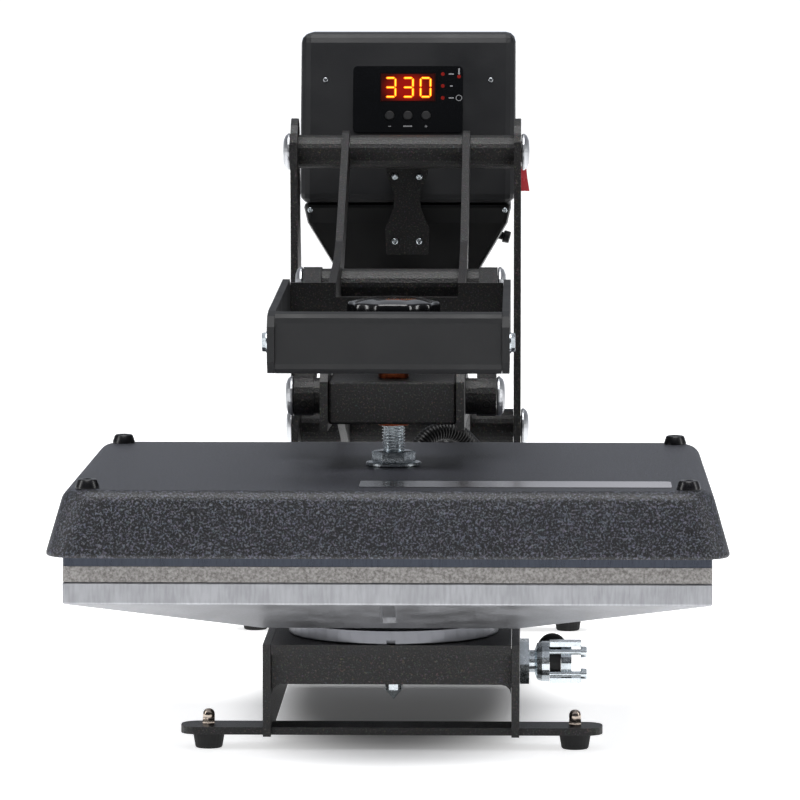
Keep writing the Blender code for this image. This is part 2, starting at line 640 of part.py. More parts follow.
def handle():
    for side, sign in SIDES.items():
        low, high = sided(HANDLE_IN, HANDLE_IN + PLATE, sign)
        outline = arc(SHAFT_HANDLE, 19, -60, 115, 8)
        outline += [(40, 392), (-20, 378), (WEB_Y - 3, 367), (WEB_Y - 3, 326), (-60, 334), (10, 338)]
        plate = prism(f"handle_arm_{side}", outline, "X", low, high, POWDER)
        near, far = sided(HANDLE_IN + PLATE - 1, LUG_IN - GAP, sign)
        boss = [(0, near), (SLEEVE_R, near), (SLEEVE_R, far), (0, far)]
        combine(plate, turned(f"handle_{side}_boss_tool", boss, "X", SHAFT_LINK, POWDER), "UNION")
        near, far = sided(HANDLE_IN + PLATE - 1, 89.1, sign)
        web = box(f"handle_web_{side}_tool", (near, WEB_Y - 3, 326), (far, WEB_Y + 3, 367), POWDER)
        combine(plate, web, "UNION")
        near, far = sided(GAP / 2, HANDLE_IN + 1, sign)
        inner_web = box(f"handle_{side}_inner_web_tool", (near, WEB_Y - 3, 326), (far, WEB_Y + 3, 355), POWDER)
        combine(plate, inner_web, "UNION")
        for name, centre in (("upper", SHAFT_HANDLE), ("lower", SHAFT_LINK)):
            drill(plate, f"handle_{side}_{name}_tool", "X", centre, BORE_R, *sided(40, 80, sign))
        low, high = sided(89.4, 89.4 + 5.9, sign)
        outline = [(WEB_Y + 6, 322), (WEB_Y + 6, 362), (WEB_Y - 4, 370), (GRIP_Y + 10, 361)]
        outline += [(GRIP_Y - 8, 358), (GRIP_Y - 15, 350), (GRIP_Y - 15, 322), (GRIP_Y - 8, 313), (GRIP_Y + 10, 312)]
        prism(f"handle_side_{side}", outline, "X", low, high, GRIP_VINYL)
    outline = rounded((GRIP_Y - 12.5, 312.6), (GRIP_Y + 12.5, 360.8), 8, 3)
    prism("handle_grip", outline, "X", -89.1, 89.1, GRIP_VINYL)
    inner = HANDLE_IN - GAP
    tube("link_shaft_sleeve", "X", SHAFT_LINK, BORE_R, SLEEVE_R, -inner, inner, POWDER)
    shaft("link_shaft", SHAFT_LINK, LUG_OUT + GAP)


# ---------------------------------------------------------------- links


def links():
    for side, sign in SIDES.items():
        low, high = sided(LUG_IN, LUG_OUT, sign)
        bar = prism(f"toggle_link_{side}", stadium(SHAFT_ARM, SHAFT_LINK, 16.5, 10), "X", low, high, POWDER)
        drill(bar, f"link_{side}_tool", "X", SHAFT_LINK, BORE_R, low - 5, high + 5)
        inner = sign * (LUG_OUT + GAP)
        profile = [(0, inner), *cap_profile(inner, sign)]
        turned(f"arm_shaft_cap_{side}", profile, "X", SHAFT_ARM, TURNED_ALU, 28, 50)


# ---------------------------------------------------------------- heater lead in its conduit


def conduit():
    """A corrugated conduit from the lid's rear wall, under the arm plate and up to the box."""
    route = [CONDUIT_START, (12, 7, 202), (18, 12, 218), (33, 20, 228), (48, 28, 226), (60, 37, 215)]
    route += [(69, 52, 202), (67, 72, 194), (57, 92, 190), (44, 114, 193), (37, 150, 206), (36, 190, 230)]
    route += [(39, 225, 260), (46, 262, 288), (55, 292, 308), (61, 304, 326), CONDUIT_END]
    curve = bpy.data.curves.new("heater_conduit", "CURVE")
    curve.dimensions = "3D"
    points = smooth_line([Vector(p) for p in route], 3)
    spline = curve.splines.new("POLY")
    spline.points.add(len(points) - 1)
    for point, place in zip(spline.points, points):
        point.co = (*(place * MM), 1.0)
    curve.bevel_depth = CONDUIT_R * MM
    curve.bevel_resolution = 3
    curve.use_fill_caps = True
    curve.materials.append(ABS)
    obj = bpy.data.objects.new("heater_conduit", curve)
    bpy.context.scene.collection.objects.link(obj)
    socket = turned("conduit_socket", [(0, 172.6), (11, 172.6), (11, 190), (0, 190)], "Z", CONDUIT_START[:2], ABS)
    combine(socket, box("socket_pad_tool", (2, -14, 174), (22, 4, 188), ABS), "UNION")
    drill(socket, "socket_tool", "Z", CONDUIT_START[:2], 8.6, 174.6, 200)


def smooth_line(points, per_gap):
    """Points on a smooth curve (Catmull-Rom) through the given ones."""
    ends = [points[0] * 2 - points[1], *points, points[-1] * 2 - points[-2]]
    line = []
    for a, b, c, d in zip(ends, ends[1:], ends[2:], ends[3:]):
        for k in range(per_gap):
            t = k / per_gap
            bend = 2 * a - 5 * b + 4 * c - d
            line.append(b + 0.5 * t * ((c - a) + t * (bend + t * (3 * (b - c) + d - a))))
    return line + [points[-1]]


base()
pedestal()
lower_platen()
fixed_shafts()
control_box()
front_panel()
tray()
bracket()
rocker()
gland()
arm()
stud()
heated_platen()
cover()
knob()
handle()
links()
conduit()
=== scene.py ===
# %% [markdown]
# # A clamshell heat press
# This notebook dresses a packed, jointed model of a heat press: a heated platen under a wrinkle-coated
# steel lid, a toggle linkage with a handle, and a control box behind. The model is the fixed frame.
# Here each surface gets the finish of the real one, and the pieces too small or too fine for the frame
# are modelled: nuts, screws, the stud's thread, the ribbed conduit, the display and its marks.

# %% Load the frame
import json
import math

import bmesh
import bpy
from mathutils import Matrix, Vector

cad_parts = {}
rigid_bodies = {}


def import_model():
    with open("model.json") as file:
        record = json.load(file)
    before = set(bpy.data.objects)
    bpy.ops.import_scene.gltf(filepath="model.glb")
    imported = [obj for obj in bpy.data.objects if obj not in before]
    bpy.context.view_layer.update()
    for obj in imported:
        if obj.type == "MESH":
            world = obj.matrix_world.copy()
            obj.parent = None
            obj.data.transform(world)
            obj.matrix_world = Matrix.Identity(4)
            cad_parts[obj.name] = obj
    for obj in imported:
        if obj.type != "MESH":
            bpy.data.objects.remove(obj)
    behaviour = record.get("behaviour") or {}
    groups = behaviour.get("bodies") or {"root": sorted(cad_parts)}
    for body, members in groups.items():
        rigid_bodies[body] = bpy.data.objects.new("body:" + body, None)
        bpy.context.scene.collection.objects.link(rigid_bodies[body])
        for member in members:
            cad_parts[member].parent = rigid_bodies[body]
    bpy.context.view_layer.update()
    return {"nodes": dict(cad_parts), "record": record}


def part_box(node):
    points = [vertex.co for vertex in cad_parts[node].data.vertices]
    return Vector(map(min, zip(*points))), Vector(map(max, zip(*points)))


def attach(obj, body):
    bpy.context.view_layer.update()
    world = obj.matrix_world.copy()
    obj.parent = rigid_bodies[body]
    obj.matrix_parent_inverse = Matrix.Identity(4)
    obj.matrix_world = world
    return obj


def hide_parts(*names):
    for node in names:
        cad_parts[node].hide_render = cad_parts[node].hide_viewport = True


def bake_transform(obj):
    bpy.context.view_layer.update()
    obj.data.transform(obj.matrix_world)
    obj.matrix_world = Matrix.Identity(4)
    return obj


for old in list(bpy.data.objects):
    bpy.data.objects.remove(old, do_unlink=True)
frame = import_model()
nodes = frame["nodes"]

# %% [markdown]
# ## Camera
# The camera stands well back with a long lens, so that a wide object keeps its proportions. It is a little
# above the press and a hand's width to its right, and looks slightly down and to the left.

# %% Camera
CAMERA_PLACE = (0.108, -4.438, 0.650)
CAMERA_PITCH = math.radians(5.056)
CAMERA_YAW = math.radians(1.40)
LENS = 232.4
camera_data = bpy.data.cameras.new("camera")
camera_data.lens = LENS
camera_data.sensor_width = 36.0
camera_data.clip_end = 200.0
camera = bpy.data.objects.new("camera", camera_data)
camera.location = CAMERA_PLACE
camera.rotation_euler = (math.radians(90.0) - CAMERA_PITCH, 0.0, CAMERA_YAW)
bpy.context.scene.collection.objects.link(camera)
bpy.context.scene.camera = camera

# %% [markdown]
# ## Small helpers
# An operator acts on whatever is selected, so each step starts by selecting one object alone. A finished
# piece has its place in its mesh, its own finish, and rides on the body that it is fastened to.

# %% Helpers for pieces
MM = 0.001


def only(obj):
    """Select one object alone and make it the active one."""
    bpy.ops.object.select_all(action="DESELECT")
    obj.select_set(True)
    bpy.context.view_layer.objects.active = obj
    return obj


def seat(obj):
    """Put an object's place, turn and size into its mesh."""
    only(obj)
    bpy.ops.object.transform_apply(location=True, rotation=True, scale=True)
    return obj


def apply_modifier(obj, kind, **settings):
    only(obj)
    step = obj.modifiers.new(kind.lower(), kind)
    for name, value in settings.items():
        setattr(step, name, value)
    bpy.ops.object.modifier_apply(modifier=step.name)
    return obj


def bevel(obj, width, segments=2, angle=30.0):
    return apply_modifier(obj, "BEVEL", width=width * MM, segments=segments, limit_method="ANGLE",
                          angle_limit=math.radians(angle), harden_normals=False)


AXES = {"X": (0.0, math.pi / 2, 0.0), "Y": (math.pi / 2, 0.0, 0.0), "Z": (0.0, 0.0, 0.0)}


def cylinder(name, centre, axis, radius, length, sides=32):
    """A cylinder along X, Y or Z about a centre, with its radius and length in millimetres."""
    bpy.ops.mesh.primitive_cylinder_add(vertices=sides, radius=radius * MM, depth=length * MM,
                                        location=centre, rotation=AXES[axis])
    obj = bpy.context.object
    obj.name = name
    return seat(obj)


def block(name, centre, size):
    """A box about a centre, with its size in millimetres."""
    bpy.ops.mesh.primitive_cube_add(size=1.0, location=centre)
    obj = bpy.context.object
    obj.name = name
    obj.scale = [side * MM for side in size]
    return seat(obj)


def join(pieces, name):
    bpy.ops.object.select_all(action="DESELECT")
    for piece in pieces:
        piece.select_set(True)
    bpy.context.view_layer.objects.active = pieces[0]
    bpy.ops.object.join()
    pieces[0].name = name
    return pieces[0]


def dress(obj, finish):
    obj.data.materials.clear()
    obj.data.materials.append(finish)


def done(obj, finish, body, angle=35.0):
    """Finish a piece: its material, smooth round faces and the body it rides on."""
    only(obj)
    dress(obj, finish)
    bpy.ops.object.shade_smooth_by_angle(angle=math.radians(angle))
    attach(obj, body)
    return obj


def middle(node):
    low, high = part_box(node)
    return (low + high) / 2


# %% [markdown]
# ## How a finish is written
# A colour is a hex value as a colour card gives it, turned to the linear value that light adds up in.
# One function adds a node, sets it, and links what it is given. Patterns read Object coordinates, which
# are metres here, so a grain of a given size in millimetres has a scale of 1000 over that size.

# %% Helpers for finishes


def linear(card):
    """A hex colour as linear red, green, blue and alpha."""
    parts = [int(card[i:i + 2], 16) / 255 for i in (1, 3, 5)]
    return (*[p / 12.92 if p <= 0.04045 else ((p + 0.055) / 1.055) ** 2.4 for p in parts], 1.0)


def add(tree, kind, inputs=None, **settings):
    """Add a node, set its properties, and set or link its inputs."""
    made = tree.nodes.new(kind)
    for name, value in settings.items():
        setattr(made, name, value)
    for name, value in (inputs or {}).items():
        socket = made.inputs[name]
        if isinstance(value, bpy.types.NodeSocket):
            tree.links.new(value, socket)
        else:
            socket.default_value = value
    return made


def new_finish(name, colour, roughness, metallic=0.0, **more):
    """A material with plain values on its shader. Returns it, its tree, its shader and its coordinates."""
    made = bpy.data.materials.new(name)
    made.use_nodes = True
    tree = made.node_tree
    shader = tree.nodes["Principled BSDF"]
    shader.inputs["Base Color"].default_value = linear(colour)
    shader.inputs["Roughness"].default_value = roughness
    shader.inputs["Metallic"].default_value = metallic
    for name, value in more.items():
        shader.inputs[name.replace("_", " ")].default_value = value
    place = add(tree, "ShaderNodeTexCoord").outputs["Object"]
    return made, tree, shader, place


def grain(size):
    """A pattern scale for a feature of this size in millimetres."""
    return 1000.0 / size


# %% [markdown]
# ## Textured powder coat
# The frame, arms and sleeves are sprayed with a hammer-texture powder and baked. The melt draws up into
# little beads, about a millimetre wide here. The light that each bead catches is painted into the colour:
# the bead tops are lighter, a painted highlight, and cells of a second pattern tint some of them. The bump
# follows the same bead pattern. The lid's coat is a wrinkle finish: broader, greyer and without the tint.

# %% Powder coat


def powder_coat(name, dark, light, bead, low, high, tint, strength):
    """Beads of one size: dark between them, with a painted highlight where noise passes from low to high."""
    made, tree, shader, place = new_finish(name, dark, 0.42)
    beads = add(tree, "ShaderNodeTexNoise", {"Vector": place, "Scale": grain(bead), "Detail": 2.0,
                                             "Roughness": 0.7})
    cells = add(tree, "ShaderNodeTexVoronoi", {"Vector": place, "Scale": grain(bead * 1.4)})
    tone = add(tree, "ShaderNodeMapRange", {"Value": beads.outputs["Fac"], "From Min": low, "From Max": high})
    # The light colour, tinted by the cells, is a painted highlight on the bead tops.
    painted_glint_hue = add(tree, "ShaderNodeMix", {0: tint, 6: linear(light), 7: cells.outputs["Color"]}, data_type="RGBA",
              blend_type="SOFT_LIGHT")
    shade = add(tree, "ShaderNodeMix", {0: tone.outputs["Result"], 6: linear(dark), 7: painted_glint_hue.outputs[2]},
                data_type="RGBA")
    tree.links.new(shade.outputs[2], shader.inputs["Base Color"])
    rough = add(tree, "ShaderNodeMapRange", {"Value": beads.outputs["Fac"], "To Min": 0.34, "To Max": 0.56})
    tree.links.new(rough.outputs["Result"], shader.inputs["Roughness"])
    bump = add(tree, "ShaderNodeBump", {"Height": beads.outputs["Fac"], "Strength": strength,
                                        "Distance": 0.6 * MM})
    tree.links.new(bump.outputs["Normal"], shader.inputs["Normal"])
    return made


POWDER = powder_coat("hammer_powder_coat_black_painted_glints", "#030304", "#544e4c", 1.5, 0.54, 0.76, 0.5, 0.8)
WRINKLE = powder_coat("wrinkle_powder_coat_charcoal", "#07080b", "#5c5e6a", 1.7, 0.48, 0.68, 0.1, 1.0)

# %% [markdown]
# ## Moulded plastics, vinyl and rubber
# The box is ABS from a spark-eroded mould: a satin skin with a very fine even grain. The grip is dipped
# in soft vinyl, so it is smoother and duller. Rubber is duller again, and holds a little dust.

# %% Plastics and rubber


def moulded(name, colour, roughness, size, strength, cloud=0.06, **more):
    """A satin moulded surface: fine even grain, and a faint cloud of wear in its roughness."""
    made, tree, shader, place = new_finish(name, colour, roughness, **more)
    fine = add(tree, "ShaderNodeTexNoise", {"Vector": place, "Scale": grain(size), "Detail": 2.0})
    broad = add(tree, "ShaderNodeTexNoise", {"Vector": place, "Scale": grain(45.0), "Detail": 4.0})
    rough = add(tree, "ShaderNodeMapRange", {"Value": broad.outputs["Fac"], "From Min": 0.3, "From Max": 0.7,
                                             "To Min": roughness - cloud, "To Max": roughness + cloud})
    tree.links.new(rough.outputs["Result"], shader.inputs["Roughness"])
    bump = add(tree, "ShaderNodeBump", {"Height": fine.outputs["Fac"], "Strength": strength,
                                        "Distance": 0.3 * MM})
    tree.links.new(bump.outputs["Normal"], shader.inputs["Normal"])
    return made


ABS = moulded("abs_spark_eroded_black", "#0c0d11", 0.46, 0.9, 0.3)
VINYL = moulded("vinyl_dip_black", "#0d0e11", 0.6, 2.2, 0.25)
RUBBER = moulded("moulded_rubber_black", "#0d0d0e", 0.72, 1.1, 0.3)
NYLON = moulded("nylon_conduit_black", "#0a0a0b", 0.38, 1.5, 0.15)
PHENOLIC = moulded("phenolic_polished_black", "#08080a", 0.2, 3.0, 0.04, 0.05, Coat_Weight=0.6)
CAP_NYLON = moulded("nylon_cap_black", "#0d0d10", 0.3, 1.6, 0.1)
ACRYLIC = moulded("polyester_overlay_gloss_black", "#050608", 0.16, 6.0, 0.02, 0.04)
SWITCH_RED = moulded("polycarbonate_switch_red", "#b22832", 0.3, 2.0, 0.06)
FIBRE = moulded("glass_fibre_blanket_cream", "#d9d2bd", 0.9, 1.4, 0.9)
LAMINATE = moulded("circuit_laminate_green", "#14532a", 0.45, 2.0, 0.1)
BUTTON = moulded("silicone_button_black", "#18181a", 0.5, 1.2, 0.15)

# %% [markdown]
# ## Metals
# Turned parts carry fine rings from the tool, round their own axis. Milled faces carry straight lines.
# A casting keeps a faint mottle. Zinc plate is bluish, with soft clouds where the bath ran. On a metal
# the colour is the reflection, so each keeps the default index and only its roughness changes.

# %% Metals


EVEN = (1.0, 1.0, 1.0)


def metal(name, colour, roughness, spread, cloud_size, stretch, line, depth, shade=0.72):
    """A metal with clouds in its polish and fine lines stretched along an axis."""
    made, tree, shader, place = new_finish(name, colour, roughness, 1.0)
    cloud = add(tree, "ShaderNodeTexNoise", {"Vector": place, "Scale": grain(cloud_size), "Detail": 4.0})
    along = add(tree, "ShaderNodeMapping", {"Vector": place, "Scale": stretch})
    lines = add(tree, "ShaderNodeTexNoise", {"Vector": along.outputs["Vector"], "Scale": grain(line),
                                             "Detail": 2.0})
    both = add(tree, "ShaderNodeMath", {0: cloud.outputs["Fac"], 1: lines.outputs["Fac"]}, operation="ADD")
    rough = add(tree, "ShaderNodeMapRange", {"Value": both.outputs[0], "From Min": 0.6, "From Max": 1.4,
                                             "To Min": roughness - spread, "To Max": roughness + spread})
    tree.links.new(rough.outputs["Result"], shader.inputs["Roughness"])
    worn = add(tree, "ShaderNodeMapRange", {"Value": both.outputs[0], "From Min": 0.75, "From Max": 1.2})
    dull = [shade * part for part in linear(colour)[:3]] + [1.0]
    tone = add(tree, "ShaderNodeMix", {0: worn.outputs["Result"], 6: dull, 7: linear(colour)},
               data_type="RGBA")
    tree.links.new(tone.outputs[2], shader.inputs["Base Color"])
    bump = add(tree, "ShaderNodeBump", {"Height": lines.outputs["Fac"], "Strength": depth,
                                        "Distance": 0.3 * MM})
    tree.links.new(bump.outputs["Normal"], shader.inputs["Normal"])
    return made


def turned_metal(name, colour, roughness, axis, centre, ring):
    """Concentric tool rings round an axis through a centre."""
    made, tree, shader, place = new_finish(name, colour, roughness, 1.0)
    keep = [0.0 if letter == axis else 1.0 for letter in "XYZ"]
    shift = [-c * k for c, k in zip(centre, keep)]
    flat = add(tree, "ShaderNodeMapping", {"Vector": place, "Location": shift, "Scale": keep})
    radius = add(tree, "ShaderNodeVectorMath", {0: flat.outputs["Vector"]}, operation="LENGTH")
    line = add(tree, "ShaderNodeCombineXYZ", {"X": radius.outputs["Value"]})
    rings = add(tree, "ShaderNodeTexNoise", {"Vector": line.outputs["Vector"], "Scale": grain(ring),
                                             "Detail": 3.0})
    rough = add(tree, "ShaderNodeMapRange", {"Value": rings.outputs["Fac"], "From Min": 0.3, "From Max": 0.7,
                                             "To Min": roughness - 0.08, "To Max": roughness + 0.1})
    tree.links.new(rough.outputs["Result"], shader.inputs["Roughness"])
    bump = add(tree, "ShaderNodeBump", {"Height": rings.outputs["Fac"], "Strength": 0.25,
                                        "Distance": 0.3 * MM})
    tree.links.new(bump.outputs["Normal"], shader.inputs["Normal"])
    return made


CASTING = metal("aluminium_casting_milled", "#b0b1b5", 0.42, 0.1, 26.0, (1.0, 1.0, 0.15), 2.2, 0.12)
# The heated platen's aluminium is darkened to a blue-grey as painted shade: its edge sits under the lid's lip
# and faces the dark room.
HOT_ALU = metal("aluminium_plate_painted_shade", "#464a53", 0.3, 0.08, 24.0, (1.0, 1.0, 0.15), 2.0, 0.12)
ZINC = metal("zinc_plate_bright", "#dfe7ec", 0.26, 0.06, 9.0, EVEN, 3.0, 0.02)
STEEL = metal("steel_ground", "#aeb1b5", 0.3, 0.08, 10.0, (0.1, 1.0, 1.0), 1.0, 0.1)
NICKEL = metal("nickel_plate_bright", "#b9aca0", 0.14, 0.05, 6.0, EVEN, 2.0, 0.05)
BRONZE = metal("bronze_sintered", "#9a4f30", 0.38, 0.1, 4.0, EVEN, 0.8, 0.3)
print("finishes", len(bpy.data.materials))

# %% [markdown]
# ## Silicone pad
# The pad is sponge silicone cut from sheet. Its edge shows the closed cells as a pale and dark speckle.

# %% Silicone
SILICONE, tree, shader, place = new_finish("sponge_silicone_tan", "#a09890", 0.85)
cells = add(tree, "ShaderNodeTexNoise", {"Vector": place, "Scale": grain(2.2), "Detail": 5.0,
                                         "Roughness": 0.7})
tone = add(tree, "ShaderNodeMapRange", {"Value": cells.outputs["Fac"], "From Min": 0.36, "From Max": 0.64})
mixed = add(tree, "ShaderNodeMix", {0: tone.outputs["Result"], 6: linear("#706d6a"), 7: linear("#aeaba9")},
            data_type="RGBA")
tree.links.new(mixed.outputs[2], shader.inputs["Base Color"])
bump = add(tree, "ShaderNodeBump", {"Height": cells.outputs["Fac"], "Strength": 0.6, "Distance": 0.5 * MM})
tree.links.new(bump.outputs["Normal"], shader.inputs["Normal"])

# %% [markdown]
# ## Display
# The window is red-tinted plastic, nearly black when unlit. The digits are light-emitting diodes: amber
# where they are brightest. They sit behind the window, so they have next to no gloss of their own. Marks on
# the overlay are screen printed in grey.

# %% Light and print


def glowing(name, colour, light, strength):
    made, _tree, shader, _place = new_finish(name, colour, 0.5, Specular_IOR_Level=0.1)
    shader.inputs["Emission Color"].default_value = linear(light)
    shader.inputs["Emission Strength"].default_value = strength
    return made


WINDOW = moulded("acrylic_window_dark_red", "#2a0906", 0.12, 5.0, 0.02, 0.04)
DIGIT = glowing("led_segment_amber", "#a83208", "#ff6a08", 1.5)
CORE = glowing("led_segment_core", "#c89020", "#ffe040", 1.6)

HALO, tree, shader, place = new_finish("led_haze_red", "#140200", 0.5, Specular_IOR_Level=0.1)
shader.inputs["Emission Color"].default_value = linear("#c41404")
away = add(tree, "ShaderNodeVectorMath", {0: place, 1: middle("display_window")}, operation="SUBTRACT")
HAZE_X, HAZE_Z = 0.026, 0.0155
flat = add(tree, "ShaderNodeMapping", {"Vector": away.outputs["Vector"],
                                       "Scale": (1 / HAZE_X, 0.0, 1 / HAZE_Z)})
reach = add(tree, "ShaderNodeVectorMath", {0: flat.outputs["Vector"]}, operation="LENGTH")
level = add(tree, "ShaderNodeMapRange", {"Value": reach.outputs["Value"], "From Min": 0.35, "From Max": 1.1,
                                         "To Min": 0.55, "To Max": 0.05}, interpolation_type="SMOOTHSTEP")
tree.links.new(level.outputs["Result"], shader.inputs["Emission Strength"])
LAMP = glowing("indicator_red_dim", "#6e150f", "#8c1410", 0.25)
PRINT = moulded("screen_print_grey", "#8b8c8e", 0.6, 2.0, 0.05)
SHADOW_BLACK = moulded("recess_painted_shade_black", "#060607", 0.8, 2.0, 0.05)

# %% [markdown]
# ## Finishes for the frame's nodes
# Each node takes the finish of its slot. Shafts and end caps are turned, each round the axis of its shaft, so
# they get a finish of their own, and so do a few other nodes that differ from the rest of their slot.

# %% Dress the nodes
FINISH_OF_SLOT = {
    "powder_coat": POWDER, "wrinkle_coat": WRINKLE, "grip_vinyl": VINYL, "rubber": RUBBER,
    "cast_aluminium": CASTING, "silicone": SILICONE, "zinc": ZINC, "steel": STEEL, "bronze": BRONZE,
    "black_plastic": ABS, "panel_gloss": ACRYLIC, "knob_gloss": PHENOLIC, "red_window": WINDOW,
    "circuit_board": LAMINATE, "red_plastic": SWITCH_RED, "glass_fibre": FIBRE,
}
ROUND_SHAFT = {
    "handle_shaft": "handle_shaft", "frame_shaft": "frame_shaft", "link_shaft": "link_shaft",
    "arm_shaft_cap_left": "arm_shaft", "arm_shaft_cap_right": "arm_shaft",
}
# The disc is turned aluminium, and its colour is darkened as painted shade: it stands in shadow under the
# platens.
DISC = turned_metal("aluminium_turned_dull", "#7e7f84", 0.38, "Z", middle("pedestal_disc"), 1.4)
# The tray is black sheet steel, and its colour is darkened further as painted shade, for the shadow under the
# box.
TRAY_PAINTED_SHADE_BLACK = moulded("sheet_steel_black_painted_shade", "#030304", 0.34, 1.2, 0.15)
OF_ITS_OWN = {
    "heated_platen": HOT_ALU, "pedestal_disc": DISC, "control_box_tray": TRAY_PAINTED_SHADE_BLACK,
    "button_minus": BUTTON, "button_mode": BUTTON, "button_plus": BUTTON,
}
for name, shaft in ROUND_SHAFT.items():
    OF_ITS_OWN[name] = turned_metal(f"aluminium_turned_{name}", "#c6c8cb", 0.34, "X", middle(shaft), 1.1)
for row in frame["record"]["subparts"]:
    name = row["node"]
    dress(nodes[name], OF_ITS_OWN.get(name) or FINISH_OF_SLOT[row["material_slot"]])
print("dressed", len(nodes), "nodes")


# %% [markdown]
# ## Tools for modelling
# Shaping happens in edit mode, on faces or edges picked by where they are or which way they face. A ray
# shot at a node finds the surface that a screw sits on.

# %% Helpers for editing


def edit(obj, kind, test):
    """Go into edit mode on one object, with the faces, edges or vertices that pass the test selected."""
    only(obj)
    bpy.ops.object.mode_set(mode="EDIT")
    bpy.ops.mesh.select_mode(type=kind)
    bpy.ops.mesh.select_all(action="DESELECT")
    mesh = bmesh.from_edit_mesh(obj.data)
    for part in {"VERT": mesh.verts, "EDGE": mesh.edges, "FACE": mesh.faces}[kind]:
        part.select_set(test(part))
    mesh.select_flush_mode()
    bmesh.update_edit_mesh(obj.data)


def leave():
    bpy.ops.object.mode_set(mode="OBJECT")


def resize(scale, centre):
    bpy.ops.transform.resize(value=scale, center_override=centre)


def spans(edge, axis):
    """How far an edge runs along an axis, in millimetres."""
    one, two = edge.verts
    return abs(getattr(one.co - two.co, axis)) / MM


def round_off(obj, test, width, segments):
    """Bevel the edges that pass a test by a width in millimetres."""
    edit(obj, "EDGE", test)
    bpy.ops.mesh.bevel(offset=width * MM, segments=segments, affect="EDGES")
    leave()


def tidy(obj):
    """Merge doubles and turn every face outward."""
    edit(obj, "VERT", lambda vert: True)
    bpy.ops.mesh.remove_doubles(threshold=0.000005)
    bpy.ops.mesh.normals_make_consistent(inside=False)
    leave()
    return obj


def copy(obj, name, place=(0.0, 0.0, 0.0)):
    """A copy with a mesh of its own, moved by a distance."""
    twin = obj.copy()
    twin.data = obj.data.copy()
    twin.name = name
    bpy.context.scene.collection.objects.link(twin)
    twin.location = place
    return seat(twin)


def spun(name, profile, sides=32):
    """A turned shape about Z: (radius, height) pairs in millimetres, spun all the way round."""
    mesh = bpy.data.meshes.new(name)
    points = [(radius * MM, 0.0, height * MM) for radius, height in profile]
    mesh.from_pydata(points, [(k, k + 1) for k in range(len(points) - 1)], [])
    obj = bpy.data.objects.new(name, mesh)
    bpy.context.scene.collection.objects.link(obj)
    edit(obj, "VERT", lambda vert: True)
    bpy.ops.mesh.spin(steps=sides, angle=math.tau, center=(0.0, 0.0, 0.0), axis=(0.0, 0.0, 1.0))
    leave()
    return tidy(obj)


def aim(obj, place, direction):
    """Stand a piece modelled up Z on a place, so that its top points along a direction."""
    obj.rotation_euler = Vector(direction).to_track_quat("Z", "Y").to_euler()
    obj.location = place
    return seat(obj)


def touch(node, start, direction):
    """Where a ray meets a node."""
    hit, place, _normal, _face = nodes[node].ray_cast(Vector(start), Vector(direction))
    if not hit:
        raise RuntimeError(f"the ray at {start} misses {node}")
    return place


# %% [markdown]
# ## The lid
# The cover is drawn from sheet: nearly upright walls, wide rounded shoulders, round corners and a smooth
# rolled lip. A box is tapered, its corners and shoulders are rounded, the bottom is taken away and the
# sheet gets its 2.5 mm thickness.

# %% The lid
TAPER = (0.945, 0.935, 1.0)
CORNER, SHOULDER, LIP, SHEET = 26.0, 8.5, 3.5, 2.5
INSET = 0.4  # the lid is this much smaller than its node, so that it stays inside
low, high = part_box("platen_cover")
LID = (low + high) / 2
lid = block("platen_lid", LID, [side / MM - INSET for side in high - low])
edit(lid, "FACE", lambda face: face.normal.z > 0.9)
resize(TAPER, LID)
leave()
round_off(lid, lambda edge: spans(edge, "z") > 20.0, CORNER, 8)
round_off(lid, lambda edge: all(vert.co.z > high.z - MM for vert in edge.verts), SHOULDER, 6)
round_off(lid, lambda edge: all(vert.co.z < low.z + MM for vert in edge.verts), LIP, 3)
edit(lid, "FACE", lambda face: face.normal.z < -0.95)
bpy.ops.mesh.delete(type="FACE")
leave()
apply_modifier(lid, "SOLIDIFY", thickness=SHEET * MM, offset=-1.0)
done(lid, WRINKLE, "platen_carriage", 60.0)
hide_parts("platen_cover")
print("lid", len(lid.data.polygons), "faces")

# %% [markdown]
# ## Cap nuts on the lid
# Four black nuts hold the lid down on the platen's posts. Each is a low cone with a socket in its top.

# %% Cap nuts
lid_top = high.z
POST_X, POST_Y = 0.2355, 0.1845
cap = spun("lid_cap_nut", [(0.0, 0.0), (9.5, 0.0), (9.5, 1.2), (7.9, 6.0), (7.2, 7.0), (6.0, 7.4),
                           (3.6, 7.4), (3.3, 4.6), (0.0, 4.6)], 28)
corners = [(x, y) for x in (-POST_X, POST_X) for y in (-POST_Y, POST_Y)]
for number, (x, y) in enumerate(corners):
    piece = copy(cap, f"lid_cap_nut_{number}", (x, LID.y + y, lid_top - 0.0002))
    done(piece, CAP_NYLON, "platen_carriage")
bpy.data.objects.remove(cap, do_unlink=True)

# %% [markdown]
# ## Blank label
# A foil label lies on the front of the lid's top. Here it is plain, with a painted reflection: pale at one
# end, grey at the other.

# %% Label
LABEL, tree, shader, place = new_finish("foil_label_painted_reflection", "#8a8b90", 0.22, 0.7)
# The fade from grey to pale along the label is a painted reflection.
across = add(tree, "ShaderNodeSeparateXYZ", {"Vector": place})
part = add(tree, "ShaderNodeMapRange", {"Value": across.outputs["X"], "From Min": -0.02, "From Max": 0.2})
painted_reflection_fade = add(tree, "ShaderNodeMix", {0: part.outputs["Result"], 6: linear("#3b3d42"), 7: linear("#c9c5c8")},
           data_type="RGBA")
tree.links.new(painted_reflection_fade.outputs[2], shader.inputs["Base Color"])
label = block("lid_blank_label", (0.100, LID.y - 0.150, lid_top + 0.00005), (246.0, 46.0, 0.3))
round_off(label, lambda edge: spans(edge, "z") > 0.1, 4.0, 4)
done(label, LABEL, "platen_carriage")

# %% [markdown]
# ## Threaded stud
# The heated platen hangs on a zinc-plated stud with a ten-per-inch thread. One tooth is drawn as a bent
# line and screwed upward a turn at a time. Cutting both ends flat closes the thread.

